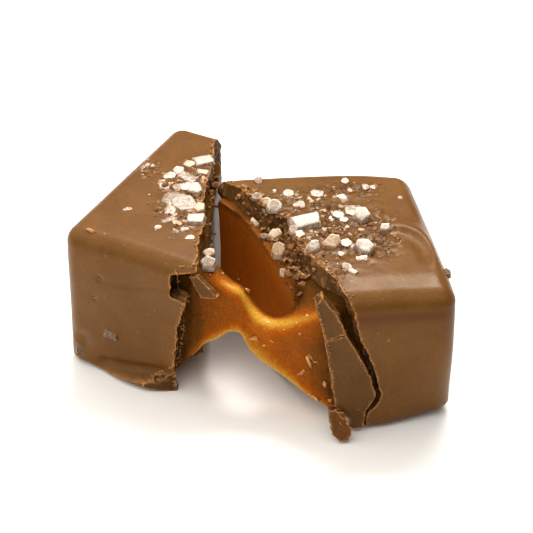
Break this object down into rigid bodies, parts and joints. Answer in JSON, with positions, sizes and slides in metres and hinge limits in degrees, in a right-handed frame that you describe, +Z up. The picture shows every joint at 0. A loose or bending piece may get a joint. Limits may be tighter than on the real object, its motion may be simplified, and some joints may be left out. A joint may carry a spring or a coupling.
{
  "type": "salted caramel candy",
  "caption": "Chocolate-coated caramel block with coarse salt on top, pulled apart into halves that soft caramel still joins.",
  "frame": {"origin": "middle of the underside of the whole pulled-apart candy, at table height", "axes": "+X from the left half to the right half, +Y from the open front with the caramel strand to the back, +Z up"},
  "size_m": [0.0368, 0.032, 0.017],
  "materials": {
    "chocolate": "satin milk chocolate, uneven and finely pitted",
    "caramel": "glossy soft caramel, dark where thick and orange where thin",
    "broken_chocolate": "darker broken chocolate with thin light edges"
  },
  "bodies": {
    "root": {"caramel": "caramel", "shell_left": "chocolate", "shell_right": "chocolate", "splinter_upper": "broken_chocolate", "splinter_lower": "broken_chocolate", "splinter_foot": "broken_chocolate", "splinter_strand": "broken_chocolate"}
  },
  "joints": []
}
